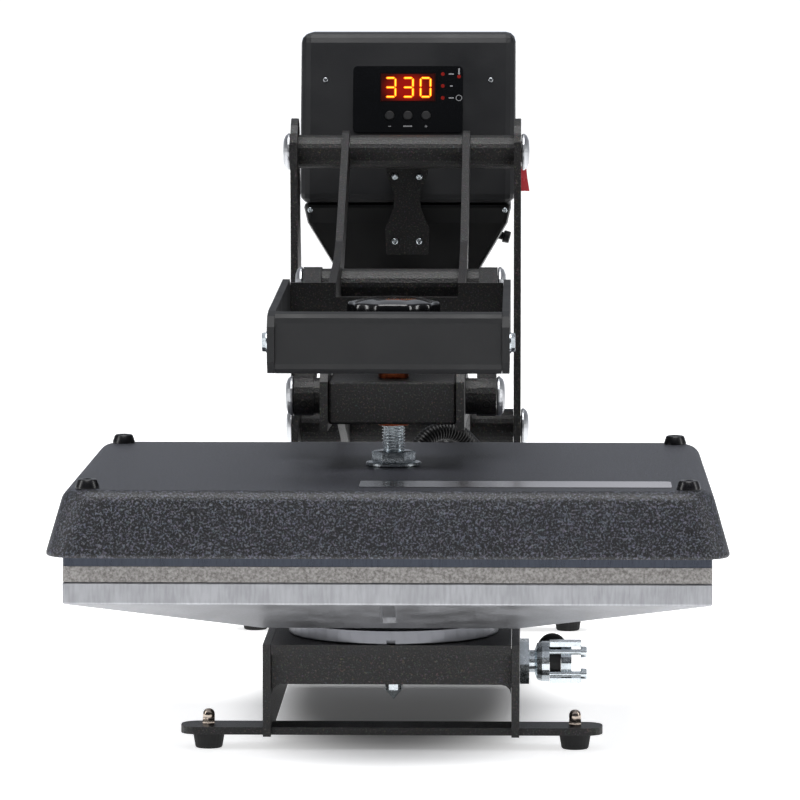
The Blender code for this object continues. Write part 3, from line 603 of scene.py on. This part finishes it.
# %% Stud
STUD = Vector((*middle("platen_stud").xy, 0.0))
PITCH = 2.54
stud_low = 234.0  # where the thread starts, in the jam nut
stud_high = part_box("platen_stud")[1].z / MM
turns = int((stud_high - stud_low) / PITCH) + 3
tooth = [(8.1, 0.0), (8.1, 0.25), (9.35, 1.1), (9.35, 1.45), (8.1, 2.29), (8.1, PITCH)]
mesh = bpy.data.meshes.new("thread")
mesh.from_pydata([(r * MM, 0.0, h * MM) for r, h in tooth], [(k, k + 1) for k in range(len(tooth) - 1)], [])
thread = bpy.data.objects.new("stud_thread", mesh)
bpy.context.scene.collection.objects.link(thread)
apply_modifier(thread, "SCREW", screw_offset=PITCH * MM, steps=24, iterations=turns,
               use_merge_vertices=True, merge_threshold=0.000005)
thread.location = STUD + Vector((0.0, 0.0, (stud_low - 1.2 * PITCH) * MM))
seat(thread)
for height, side in ((stud_low, False), (stud_high - 0.1, True)):
    edit(thread, "VERT", lambda vert: True)
    bpy.ops.mesh.bisect(plane_co=(0.0, 0.0, height * MM), plane_no=(0.0, 0.0, 1.0), use_fill=True,
                        clear_outer=side, clear_inner=not side)
    leave()
tidy(thread)
shank = spun("stud_shank", [(0.0, 178.5), (29.6, 178.5), (29.9, 179.0), (29.9, 183.6), (29.3, 184.2),
                            (9.9, 184.2), (9.4, 185.0), (9.4, 233.4), (8.2, 234.4), (0.0, 234.4)], 40)
shank.location = STUD
seat(shank)
stud = join([thread, shank], "threaded_stud")
done(stud, ZINC, "platen_carriage")
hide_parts("platen_stud")
print("stud", len(stud.data.polygons), "faces")

# %% [markdown]
# ## Star knob
# Ten lobes for grip, and a shallow dome that the moulder polished. A twenty-sided drum has every other
# edge drawn in, and a subdivision surface rounds it all.

# %% Knob
SIDES = 20
DRAWN_IN = 1.07  # the drum starts this much wider, because the subdivision draws it in
knob_low, knob_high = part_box("star_knob")
KNOB = (knob_low + knob_high) / 2
lobe_radius = (knob_high.x - knob_low.x) / 2 / MM * DRAWN_IN
knob = cylinder("star_knob_lobed", (KNOB.x, KNOB.y, 0.345), "Z", lobe_radius, 27.0, SIDES)


def valley(part):
    """True for the vertices between the lobes."""
    angle = math.atan2(part.co.y - KNOB.y, part.co.x - KNOB.x)
    return round(angle / math.tau * SIDES) % 2 == 1


edit(knob, "VERT", valley)
resize((0.80, 0.80, 1.0), KNOB)
leave()
for facing in (1.0, -1.0):
    edit(knob, "FACE", lambda face: face.normal.z * facing > 0.9)
    bpy.ops.mesh.inset(thickness=0.002, depth=0.0)
    bpy.ops.mesh.inset(thickness=0.005, depth=0.0022)
    bpy.ops.mesh.inset(thickness=0.010, depth=0.0018)
    leave()
apply_modifier(knob, "SUBSURF", levels=2, render_levels=2)
hub = spun("knob_hub", [(0.0, 302.3), (14.2, 302.3), (14.9, 303.0), (14.9, 336.0), (0.0, 336.0)], 32)
hub.location = (KNOB.x, KNOB.y, 0.0)
seat(hub)
knob = join([knob, hub], "star_knob_moulded")
spare = knob_high.z - max(vert.co.z for vert in knob.data.vertices)
print("knob", len(knob.data.polygons), "faces, below its node's top by", round(spare / MM, 2))
done(knob, PHENOLIC, "knob", 50.0)
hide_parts("star_knob")

# %% [markdown]
# ## Ribbed conduit
# The heater's leads run in a ribbed nylon hose that arches from the lid over to the arm. One rib is a
# short drum with its middle swollen. An array repeats it, and the row is bent along a curve.

# %% Conduit
ROUTE = [(12, 6, 186), (12, 7, 202), (18, 12, 218), (33, 20, 228), (48, 28, 226), (60, 37, 215),
         (69, 52, 202), (67, 72, 194), (57, 92, 190), (44, 114, 193), (37, 150, 206), (36, 190, 230),
         (39, 225, 260), (46, 262, 288), (55, 292, 308), (61, 304, 326), (62, 306, 349)]
RIB = 2.8
SWELL = 1.14
curve_data = bpy.data.curves.new("conduit_route", "CURVE")
curve_data.dimensions = "3D"
curve_data.twist_mode = "MINIMUM"
spline = curve_data.splines.new("BEZIER")
spline.bezier_points.add(len(ROUTE) - 1)
for point, place in zip(spline.bezier_points, ROUTE):
    point.co = [value * MM for value in place]
    point.handle_left_type = "AUTO"
    point.handle_right_type = "AUTO"
route = bpy.data.objects.new("conduit_route", curve_data)
bpy.context.scene.collection.objects.link(route)
bpy.context.view_layer.update()
ribs = int(spline.calc_length() / MM / RIB)
conduit = cylinder("ribbed_conduit", (RIB / 2 * MM, 0.0, 0.0), "X", 7.0, RIB, 14)
edit(conduit, "FACE", lambda face: abs(face.normal.x) > 0.9)
bpy.ops.mesh.delete(type="ONLY_FACE")
leave()
edit(conduit, "EDGE", lambda edge: spans(edge, "x") > 1.0)
bpy.ops.mesh.subdivide(number_cuts=2)
leave()
edit(conduit, "VERT", lambda vert: 0.3 * RIB * MM < vert.co.x < 0.7 * RIB * MM)
resize((1.0, SWELL, SWELL), (RIB / 2 * MM, 0.0, 0.0))
leave()
apply_modifier(conduit, "ARRAY", count=ribs, relative_offset_displace=(1.0, 0.0, 0.0),
               use_merge_vertices=True, merge_threshold=0.00005)
apply_modifier(conduit, "CURVE", object=route, deform_axis="POS_X")
bpy.data.objects.remove(route, do_unlink=True)
edit(conduit, "VERT", lambda vert: True)
bpy.ops.mesh.fill_holes(sides=20)
leave()
tidy(conduit)
only(conduit)
dress(conduit, NYLON)
bpy.ops.object.shade_smooth_by_angle(angle=math.radians(60.0))
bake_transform(conduit)
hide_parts("heater_conduit")
print("conduit", ribs, "ribs", len(conduit.data.polygons), "faces")

# %% [markdown]
# ## Nuts and bolts
# Acorn nuts clamp the feet through the foot bars. A zinc bolt holds the grip at each end. Every hexagon is
# a six-sided drum with its corners taken off, which is how a bar is turned before it becomes a nut.

# %% Hexagon


def hexagon(name, across_corners, height, chamfer=0.4):
    """A hexagon standing on Z = 0 up to its height, with its top corners taken off."""
    nut = cylinder(name, (0.0, 0.0, height / 2 * MM), "Z", across_corners / 2, height, 6)
    round_off(nut, lambda edge: all(vert.co.z > (height - 0.01) * MM for vert in edge.verts), chamfer, 2)
    return nut


# %% Nut and washer on the stud
washer_low, washer_high = (side.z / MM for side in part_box("stud_washer"))
washer = spun("stud_washer_round", [(10.2, washer_low), (22.1, washer_low), (22.5, washer_low + 0.4),
                                    (22.5, washer_high - 0.4), (22.1, washer_high), (10.2, washer_high),
                                    (10.2, washer_low)], 48)
washer.location = STUD
seat(washer)
done(washer, ZINC, "platen_carriage")
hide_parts("stud_washer")
nut_low, nut_high = (side.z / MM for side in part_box("stud_jam_nut"))
jam_nut = hexagon("stud_nut", 35.6, nut_high - nut_low, 1.3)
jam_nut.rotation_euler = (0.0, 0.0, math.radians(90.0))
jam_nut.location = STUD + Vector((0.0, 0.0, nut_low * MM))
seat(jam_nut)
done(jam_nut, ZINC, "platen_carriage")
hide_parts("stud_jam_nut")

# %% Acorn nuts
nut_hex = hexagon("acorn_hex", 11.2, 5.2)
dome = [(0.0, 4.6), (4.7, 4.6), (4.9, 5.6), (4.9, 8.2), (4.5, 10.0), (3.5, 11.6), (2.0, 12.5), (0.0, 12.8)]
acorn = join([nut_hex, spun("acorn_dome", dome, 28)], "acorn_nut")
bar_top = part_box("foot_bar_front")[1].z
for side in ("front", "rear"):
    for hand in ("left", "right"):
        seat_of = middle(f"foot_{side}_{hand}")
        piece = copy(acorn, f"acorn_nut_{side}_{hand}", (seat_of.x, seat_of.y, bar_top))
        done(piece, NICKEL, "frame")
bpy.data.objects.remove(acorn, do_unlink=True)

# %% Grip bolts
grip_low, grip_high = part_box("handle_grip")
for hand, sign in (("left", -1), ("right", 1)):
    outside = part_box(f"handle_side_{hand}")[0 if sign < 0 else 1].x
    under = spun("bolt_washer", [(0.0, 0.0), (8.4, 0.0), (8.4, 1.2), (0.0, 1.2)], 32)
    bolt = join([hexagon("bolt_head", 15.0, 4.4, 0.6), under], f"grip_bolt_{hand}")
    aim(bolt, (outside, grip_low.y + 0.0125, 0.337), (sign, 0.0, 0.0))
    done(bolt, ZINC, "handle")

# %% [markdown]
# ## Screws
# Small button-head screws hold the bracket, the box and the tray. One head is turned and a round socket
# is pressed into it. Each is set on the surface that a ray finds.

# %% Screws


def button_head(name, radius, height, socket):
    """A domed head on Z = 0, with a round socket."""
    head = spun(name, [(0.0, 0.0), (radius, 0.0), (radius, height * 0.3), (radius * 0.86, height * 0.75),
                       (radius * 0.6, height), (socket * 1.05, height)], 24)
    edit(head, "EDGE", lambda edge: edge.is_boundary)
    bpy.ops.mesh.extrude_region_move(TRANSFORM_OT_translate={"value": (0.0, 0.0, -0.6 * height * MM)})
    bpy.ops.mesh.edge_face_add()
    leave()
    return tidy(head)


bracket_screw = button_head("bracket_screw", 3.3, 2.2, 1.4)
box_screw = button_head("box_screw", 2.4, 1.2, 1.0)
for x in (-0.011, 0.011):
    for z in (0.380, 0.439):
        spot = touch("box_bracket", (x + 0.0022, 0.0, z), (0.0, 1.0, 0.0))
        piece = copy(bracket_screw, f"bracket_screw_{x * 1000:+.0f}_{z * 1000:.0f}".replace("+", ""))
        aim(piece, (x, spot.y, z), (0.0, -1.0, 0.0))
        done(piece, ZINC, "frame")

# The box's front leans back by 41 mm over its 154 mm of height, up from a point on its lower edge.
FACE = math.atan2(41.0, 154.0)
OUT = Vector((0.0, -math.cos(FACE), math.sin(FACE)))
UP = Vector((0.0, math.sin(FACE), math.cos(FACE)))
FACE_POINT = Vector((0.0, 0.254, 0.414))


def on_face(x, z, proud):
    """A point on the box's leaning face, at a height, standing proud of it. All in millimetres."""
    foot = FACE_POINT + UP * ((z * MM - FACE_POINT.z) / math.cos(FACE))
    return foot + OUT * (proud * MM) + Vector((x * MM, 0.0, 0.0))


for x in (-75.4, 75.4):
    piece = copy(box_screw, f"box_screw_{'left' if x < 0 else 'right'}")
    aim(piece, on_face(x, 525.5, -0.1), OUT)
    done(piece, STEEL, "frame")
for x in (-0.0885, 0.0885):
    spot = touch("control_box_tray", (x, 0.0, 0.408), (0.0, 1.0, 0.0))
    piece = copy(box_screw, f"tray_screw_{'left' if x < 0 else 'right'}")
    aim(piece, spot, (0.0, -1.0, 0.0))
    done(piece, ZINC, "frame")
bpy.data.objects.remove(bracket_screw, do_unlink=True)
bpy.data.objects.remove(box_screw, do_unlink=True)

# %% Set screws in the toggle links
# The set screws are matte near-black, which paints the shade in their holes.
SCREW_TILT = math.radians(20)
shaft = middle("arm_shaft")
for hand in ("left", "right"):
    link_low, link_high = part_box(f"toggle_link_{hand}")
    x = (link_low.x + link_high.x) / 2
    way = Vector((0.0, -math.cos(SCREW_TILT), -math.sin(SCREW_TILT)))
    screw = spun(f"set_screw_{hand}", [(0.0, -1.0), (3.4, -1.0), (3.4, 0.25), (2.9, 0.35), (2.0, 0.35),
                                       (1.8, -0.8), (0.0, -0.8)], 24)
    aim(screw, Vector((x, shaft.y, shaft.z)) + way * 0.0165, way)
    done(screw, SHADOW_BLACK, "links")

# %% [markdown]
# ## Lit display
# Three digits of seven bars. A bar is a thin block whose ends are bevelled to points. Lit bars are amber
# with a paler core, over a red haze where the light spreads in the plastic.

# %% Digits
WINDOW_X = middle("display_window").x / MM
WINDOW_Z = 518.5


def proud_of(node):
    """How far a node stands out from the box's face, in millimetres."""
    return max((vert.co - FACE_POINT).dot(OUT) for vert in nodes[node].data.vertices) / MM


def to_face(obj, x, z, proud):
    """Turn a piece modelled facing front onto the leaning face."""
    obj.rotation_euler = (-FACE, 0.0, 0.0)
    obj.location = on_face(x, z, proud)
    return seat(obj)


def bar(name, length, width, upright):
    """A pointed bar facing front, its middle at the origin."""
    obj = block(name, (0.0, 0.0, 0.0), (length, 0.1, width))
    round_off(obj, lambda edge: spans(edge, "y") > 0.05, width * 0.46, 1)
    if upright:
        obj.rotation_euler = (0.0, math.pi / 2, 0.0)
        seat(obj)
    return obj


DIGIT_PITCH = 16.0
SIDE, HALF = 4.5, 4.4  # from a digit's middle out to its upright bars, and up to their middles
SEGMENTS = {"top": (0, 2 * HALF, False), "middle": (0, 0, False), "bottom": (0, -2 * HALF, False),
            "up_left": (-SIDE, HALF, True), "up_right": (SIDE, HALF, True),
            "low_left": (-SIDE, -HALF, True), "low_right": (SIDE, -HALF, True)}
THREE = ("top", "middle", "bottom", "up_right", "low_right")
NOUGHT = ("top", "bottom", "up_left", "up_right", "low_left", "low_right")
glass = proud_of("display_window")


def digits(name, length, width, proud, finish):
    lit = []
    for number, shape in enumerate((THREE, THREE, NOUGHT)):
        for segment in shape:
            x, z, upright = SEGMENTS[segment]
            piece = bar(name, length, width, upright)
            piece.location = ((x + DIGIT_PITCH * (number - 1)) * MM, 0.0, z * MM)
            lit.append(seat(piece))
    whole = join(lit, name)
    to_face(whole, WINDOW_X, WINDOW_Z, glass + proud)
    return done(whole, finish, "frame")


digits("display_digits", 8.6, 2.3, 0.10, DIGIT)
digits("display_digit_cores", 7.0, 0.9, 0.16, CORE)

# %% Haze behind the digits
haze = block("display_haze", (0.0, 0.0, 0.0), (48.6, 0.06, 24.8))
to_face(haze, WINDOW_X, WINDOW_Z, glass + 0.03)
done(haze, HALO, "frame")

# %% [markdown]
# ## Indicators and printed marks
# Beside the window are three small lamps with plain marks: a thermometer, a level and a clock ring. Under
# the buttons are a minus, a bar and a plus. All are screen printed flat on the overlay.

# %% Lamps and marks
print_level = proud_of("panel_overlay") + 0.03


def mark(name, x, z, width, height):
    piece = block(name, (0.0, 0.0, 0.0), (width, 0.06, height))
    to_face(piece, x, z, print_level)
    return done(piece, PRINT, "frame")


def disc(name, x, z, radius, finish, hole=0.0):
    """A thin disc or ring facing front."""
    profile = [(hole, 0.0), (radius, 0.0), (radius, 0.06), (hole, 0.06)]
    piece = spun(name, profile + profile[:1] * (hole > 0), 24)
    aim(piece, on_face(x, z, print_level), OUT)
    return done(piece, finish, "frame")


LAMPS_Z = (530.6, 519.8, 509.0)
LAMP_X, WORD_X, ICON_X = (WINDOW_X + across for across in (31.7, 39.5, 46.5))
for number, (z, width) in enumerate(zip(LAMPS_Z, (4.6, 2.4, 4.6))):
    disc(f"lamp_{number}", LAMP_X, z, 1.7, LAMP)
    mark(f"lamp_mark_{number}", WORD_X, z, width, 1.1)
mark("thermometer_stem", ICON_X, 533.0, 1.5, 5.6)
# The printed thermometer's bulb takes the lamp finish, so this print glows faintly: a painted glow.
disc("thermometer_bulb", ICON_X, 528.4, 1.7, LAMP)
disc("clock_ring", ICON_X, LAMPS_Z[2], 2.9, PRINT, 2.3)

MARKS_Z = 483.4
MINUS_X, MODE_X, PLUS_X = WINDOW_X - 16.6, WINDOW_X, WINDOW_X + 16.6
mark("mark_minus", MINUS_X, MARKS_Z, 2.6, 0.7)
mark("mark_mode", MODE_X, MARKS_Z, 8.0, 1.2)
mark("mark_plus_across", PLUS_X, MARKS_Z, 2.4, 0.7)
mark("mark_plus_up", PLUS_X, MARKS_Z, 0.7, 2.4)

# %% [markdown]
# ## Seals and thrust washers
# The grip ends in a rubber seal against its side plates. Thin washers keep the links off the arm's bosses.

# %% Seals and washers
THICK = 0.26  # of a thrust washer, in the 0.3 mm between two faces
ring = [(10.2, 0.0), (14.8, 0.0), (14.8, THICK), (10.2, THICK), (10.2, 0.0)]
grip = middle("handle_grip")
grip_gap = (grip_high.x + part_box("handle_side_right")[0].x) / 2
link_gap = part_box("toggle_link_right")[0].x - 0.15 * MM
for hand, sign in (("left", -1), ("right", 1)):
    seal = block(f"grip_seal_{hand}", (sign * grip_gap, grip.y, grip.z), (0.28, 21.0, 44.0))
    round_off(seal, lambda edge: spans(edge, "x") > 0.1, 6.0, 4)
    done(seal, RUBBER, "handle")
    for name, body in (("arm", "arm"), ("link", "handle")):
        centre = middle(f"{name}_shaft")
        thrust = spun(f"thrust_washer_{name}_{hand}", ring, 32)
        aim(thrust, (sign * (link_gap - THICK / 2 * MM), centre.y, centre.z), (sign, 0.0, 0.0))
        done(thrust, NYLON, body)

# %% [markdown]
# ## Fuse cap and cable boot
# A small black fuse holder stands on the tray's right slope. A dark rubber boot shows behind the gland.

# %% Fuse cap and boot
spot = touch("control_box_tray", (0.3, 0.300, 0.383), (-1.0, 0.0, 0.0))
fuse = spun("fuse_cap", [(0.0, -3.0), (3.6, -3.0), (3.6, 3.5), (5.4, 3.8), (5.6, 4.6), (5.4, 9.2),
                         (4.6, 10.0), (0.0, 10.0)], 28)
aim(fuse, spot, (1.0, 0.0, -0.25))
done(fuse, ABS, "frame")
boot = spun("cable_boot", [(0.0, 0.0), (8.0, 0.0), (8.6, 0.6), (8.6, 2.6), (11.2, 3.4), (12.1, 6.0),
                           (11.8, 9.0), (10.0, 12.4), (7.0, 14.4), (3.2, 15.2), (0.0, 15.3)], 36)
BOOT_PLACE = (0.1302, -0.246, 0.0750)
aim(boot, BOOT_PLACE, (0.0, 1.0, 0.0))
done(boot, RUBBER, "frame")

# %% [markdown]
# ## Clamp screws and weld beads
# Two screws cross the gap in the clamp and pull its jaws together. A weld bead runs down the corner
# where each end of the shelf's flange meets its side plate.

# %% Clamp screws and beads
clamp_low, clamp_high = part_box("gland_clamp")
clamp_middle = (clamp_low.z + clamp_high.z) / 2
profile = [(0.0, -25.5), (2.3, -25.5), (2.3, 0.0), (4.4, 0.0), (4.6, 0.6), (4.6, 4.0), (4.0, 5.0), (0.0, 5.2)]
for level, height in (("upper", 9.0), ("lower", -9.0)):
    screw = spun(f"clamp_screw_{level}", profile, 24)
    place = (clamp_high.x - 0.6 * MM, clamp_low.y + 3.0 * MM, clamp_middle + height * MM)
    aim(screw, place, (1.0, 0.0, 0.0))
    done(screw, ZINC, "frame")

shelf_low, shelf_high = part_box("shelf_plate")
bead_y = shelf_low.y + 17.0 * MM
bead_z = (shelf_low.z + shelf_high.z) / 2
bead_length = (shelf_high.z - shelf_low.z) / MM - 10.0
for hand, x in (("left", shelf_low.x), ("right", shelf_high.x)):
    bead = cylinder(f"weld_bead_{hand}", (x, bead_y, bead_z), "Z", 2.4, bead_length, 20)
    bevel(bead, 0.8, 2)
    done(bead, POWDER, "frame")

# %% [markdown]
# ## Floor and light
# The press stands on a white floor that glows. The glow is painted light: strong in a ring all round the
# press, fading further out, and faint right under it, where the low glow paints the shadow beneath the press.
# That keeps the outer shadows faint and lights the undersides. A very wide, distant light overhead stands for
# a softbox the size of the ceiling. The studio's walls are dark but for the white backdrop behind, so upright
# black faces stay dark while flat tops pick up the backdrop. A strip light on each side edges the metal.

# %% Floor and light
bpy.ops.mesh.primitive_plane_add(size=60.0, location=(0.0, 0.0, 0.0))
floor = bpy.context.object
floor.name = "studio_floor"
FLOOR, tree, shader, place = new_finish("white_floor_painted_shadow_glow", "#eeeeee", 0.9)
shader.inputs["Specular IOR Level"].default_value = 0.1
shader.inputs["Emission Color"].default_value = (1.0, 1.0, 1.0, 1.0)
# Inside these reaches the glow drops toward the middle, which paints the shadow under the press.
SHADOW_REACH_X, SHADOW_REACH_Y = 0.16, 0.46  # how far out from the middle the table reaches its full glow
spread = add(tree, "ShaderNodeMapping", {"Vector": place, "Scale": (1 / SHADOW_REACH_X, 1 / SHADOW_REACH_Y, 0.0)})
reach = add(tree, "ShaderNodeVectorMath", {0: spread.outputs["Vector"]}, operation="LENGTH")
painted_shadow_glow = add(tree, "ShaderNodeMapRange", {"Value": reach.outputs["Value"], "From Min": 0.45,
                                             "From Max": 1.05, "To Min": 0.06, "To Max": 0.72},
                interpolation_type="SMOOTHSTEP")
painted_glow_falloff = add(tree, "ShaderNodeMapRange", {"Value": reach.outputs["Value"], "From Min": 3.0, "From Max": 9.0,
                                            "To Min": 1.0, "To Max": 0.3})
glow = add(tree, "ShaderNodeMath", {0: painted_shadow_glow.outputs["Result"], 1: painted_glow_falloff.outputs["Result"]},
           operation="MULTIPLY")
tree.links.new(glow.outputs[0], shader.inputs["Emission Strength"])
dress(floor, FLOOR)

world = bpy.data.worlds.new("studio")
bpy.context.scene.world = world
world.use_nodes = True
sky = world.node_tree
background = sky.nodes["Background"]
way = add(sky, "ShaderNodeSeparateXYZ", {"Vector": add(sky, "ShaderNodeTexCoord").outputs["Generated"]})
above = add(sky, "ShaderNodeMapRange", {"Value": way.outputs["Z"], "From Min": 0.1, "From Max": 0.9,
                                        "To Min": 0.02, "To Max": 0.2})
behind = add(sky, "ShaderNodeMapRange", {"Value": way.outputs["Y"], "From Min": 0.3, "From Max": 1.0,
                                         "To Max": 0.45})
both = add(sky, "ShaderNodeMath", {0: above.outputs["Result"], 1: behind.outputs["Result"]}, operation="ADD")
seen = add(sky, "ShaderNodeLightPath").outputs["Is Camera Ray"]
level = add(sky, "ShaderNodeMix", {0: seen, 2: both.outputs[0], 3: 1.2})
sky.links.new(level.outputs[0], background.inputs["Strength"])
background.inputs["Color"].default_value = (0.88, 0.92, 1.0, 1.0)


def lamp(name, kind, place, target, energy, **shape):
    data = bpy.data.lights.new(name, kind)
    data.energy = energy
    for key, value in shape.items():
        setattr(data, key, value)
    obj = bpy.data.objects.new(name, data)
    obj.location = place
    obj.rotation_euler = (Vector(target) - Vector(place)).to_track_quat("-Z", "Y").to_euler()
    bpy.context.scene.collection.objects.link(obj)
    return obj


MIDDLE = (0.0, 0.0, 0.3)
lamp("ceiling_softbox", "SUN", (0.0, -0.7, 4.0), MIDDLE, 2.9, angle=math.radians(50.0))
lamp("left_strip", "AREA", (-2.2, -0.9, 1.1), MIDDLE, 16.0, shape="RECTANGLE", size=0.5, size_y=1.8)
lamp("right_strip", "AREA", (2.2, -0.7, 1.1), MIDDLE, 13.0, shape="RECTANGLE", size=0.5, size_y=1.8)
bpy.context.scene.view_settings.view_transform = "Standard"
